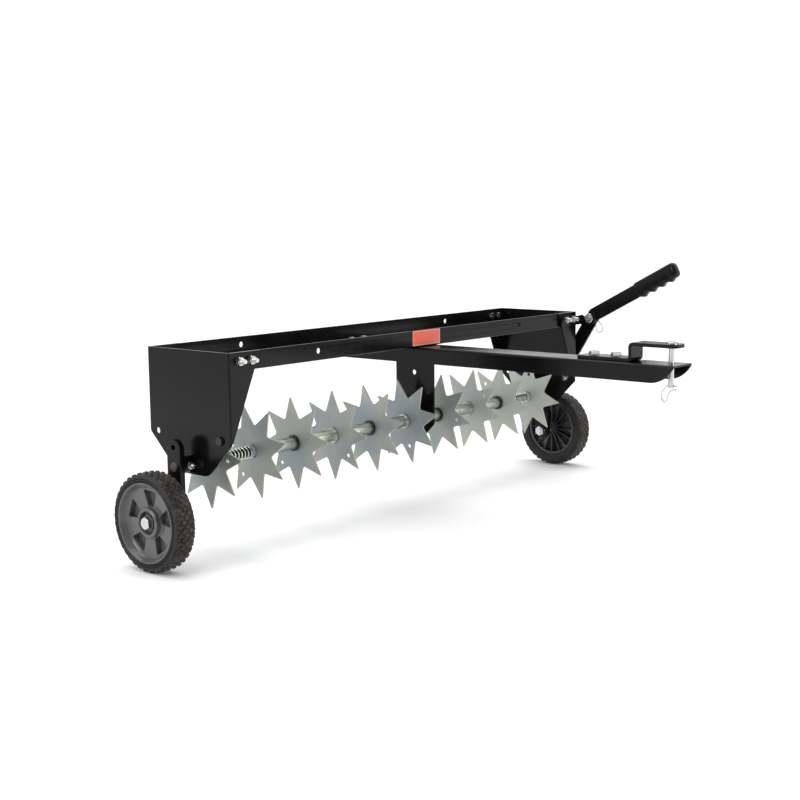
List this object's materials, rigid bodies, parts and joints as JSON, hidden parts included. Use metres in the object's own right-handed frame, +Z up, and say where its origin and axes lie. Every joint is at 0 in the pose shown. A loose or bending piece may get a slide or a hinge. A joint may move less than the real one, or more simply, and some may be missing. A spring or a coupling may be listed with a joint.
{
  "type": "tow-behind spike aerator",
  "caption": "Tow-behind lawn spike aerator: star wheels on a shaft under an open box frame, drawbar with clevis hitch, and two wheels on arms with a lift handle.",
  "frame": {"origin": "centre of the footprint, on the ground under the wheels in the transport position", "axes": "+Z up, +Y forward along the drawbar, +X to the machine's right along the star shaft"},
  "size_m": [1.21, 0.742, 0.4643],
  "materials": {
    "black_coat": "gloss powder coat",
    "zinc": "bright zinc plate",
    "label_red": "printed vinyl",
    "black_plastic": "moulded",
    "grey_plastic": "semi-gloss moulded",
    "grip_black": "soft vinyl",
    "tyre_rubber": "solid rubber"
  },
  "bodies": {
    "frame": {"end_plate_right": "black_coat", "end_plate_left": "black_coat", "front_rail": "black_coat", "rear_rail": "black_coat", "tongue": "black_coat", "hitch_strap": "black_coat", "center_hanger": "black_coat", "lock_bracket": "black_coat", "label_plate": "label_red", "rail_bolts": "zinc", "rail_nuts": "zinc", "tongue_bolts": "zinc", "tongue_nuts": "zinc", "stop_bolts": "zinc", "stop_nuts": "zinc", "shaft_bushings": "black_plastic"},
    "lift": {"star_shaft": "zinc", "shaft_spacers": "zinc", "rings_zinc": "zinc", "rings_black": "black_plastic", "rings_back": "zinc", "shaft_springs": "zinc", "arm_right": "black_coat", "arm_left": "black_coat", "arm_sleeves": "black_coat", "sleeve_bolts": "zinc", "sleeve_nuts": "zinc", "handle_bar": "black_coat", "handle_grip": "grip_black", "handle_bolt": "zinc", "handle_nut": "zinc", "wheel_bolts": "zinc", "wheel_nuts": "zinc", "wheel_spacers": "zinc"},
    "wheel_right": {"tyre_right": "tyre_rubber", "hub_core_right": "black_plastic", "hub_cover_right": "grey_plastic"},
    "wheel_left": {"tyre_left": "tyre_rubber", "hub_core_left": "black_plastic", "hub_cover_left": "grey_plastic"},
    "hitch_pin_body": {"hitch_pin": "zinc"},
    "hitch_clip": {"hitch_hairpin": "zinc"},
    "lock_pin_body": {"lock_pin": "zinc"},
    "lock_clip": {"lock_hairpin": "zinc"},
    "star_a_wheel": {"star_a": "zinc"},
    "star_b_wheel": {"star_b": "zinc"},
    "star_c_wheel": {"star_c": "zinc"},
    "star_d_wheel": {"star_d": "zinc"},
    "star_e_wheel": {"star_e": "zinc"},
    "star_f_wheel": {"star_f": "zinc"},
    "star_g_wheel": {"star_g": "zinc"},
    "star_h_wheel": {"star_h": "zinc"},
    "star_i_wheel": {"star_i": "zinc"},
    "star_j_wheel": {"star_j": "zinc"}
  },
  "joints": [
    {"name": "lift_hinge", "type": "hinge", "parent": "frame", "child": "lift", "pos_m": [0, -0.267, 0.1655], "axis": [1, 0, 0], "range_deg": [0, 120]},
    {"name": "wheel_right_spin", "type": "hinge", "parent": "lift", "child": "wheel_right", "pos_m": [0.585, -0.267, 0.0825], "axis": [1, 0, 0], "continuous": true},
    {"name": "wheel_left_spin", "type": "hinge", "parent": "lift", "child": "wheel_left", "pos_m": [-0.585, -0.267, 0.0825], "axis": [1, 0, 0], "continuous": true},
    {"name": "hitch_pin_slide", "type": "slide", "parent": "frame", "child": "hitch_pin_body", "axis": [0, 0, 1], "range_m": [0, 0.022]},
    {"name": "hitch_clip_slide", "type": "slide", "parent": "hitch_pin_body", "child": "hitch_clip", "axis": [0, -1, 0], "range_m": [0, 0.018]},
    {"name": "lock_pin_slide", "type": "slide", "parent": "lift", "child": "lock_pin_body", "axis": [1, 0, 0], "range_m": [0, 0.0035]},
    {"name": "lock_clip_slide", "type": "slide", "parent": "lock_pin_body", "child": "lock_clip", "axis": [0, 0.3907, -0.9205], "range_m": [0, 0.026]},
    {"name": "star_a_spin", "type": "hinge", "parent": "lift", "child": "star_a_wheel", "pos_m": [0.4653, -0.267, 0.1655], "axis": [1, 0, 0], "continuous": true},
    {"name": "star_b_spin", "type": "hinge", "parent": "lift", "child": "star_b_wheel", "pos_m": [0.3619, -0.267, 0.1655], "axis": [1, 0, 0], "continuous": true},
    {"name": "star_c_spin", "type": "hinge", "parent": "lift", "child": "star_c_wheel", "pos_m": [0.2585, -0.267, 0.1655], "axis": [1, 0, 0], "continuous": true},
    {"name": "star_d_spin", "type": "hinge", "parent": "lift", "child": "star_d_wheel", "pos_m": [0.1551, -0.267, 0.1655], "axis": [1, 0, 0], "continuous": true},
    {"name": "star_e_spin", "type": "hinge", "parent": "lift", "child": "star_e_wheel", "pos_m": [0.0517, -0.267, 0.1655], "axis": [1, 0, 0], "continuous": true},
    {"name": "star_f_spin", "type": "hinge", "parent": "lift", "child": "star_f_wheel", "pos_m": [-0.0517, -0.267, 0.1655], "axis": [1, 0, 0], "continuous": true},
    {"name": "star_g_spin", "type": "hinge", "parent": "lift", "child": "star_g_wheel", "pos_m": [-0.1551, -0.267, 0.1655], "axis": [1, 0, 0], "continuous": true},
    {"name": "star_h_spin", "type": "hinge", "parent": "lift", "child": "star_h_wheel", "pos_m": [-0.2585, -0.267, 0.1655], "axis": [1, 0, 0], "continuous": true},
    {"name": "star_i_spin", "type": "hinge", "parent": "lift", "child": "star_i_wheel", "pos_m": [-0.3619, -0.267, 0.1655], "axis": [1, 0, 0], "continuous": true},
    {"name": "star_j_spin", "type": "hinge", "parent": "lift", "child": "star_j_wheel", "pos_m": [-0.4733, -0.267, 0.1655], "axis": [1, 0, 0], "continuous": true}
  ]
}
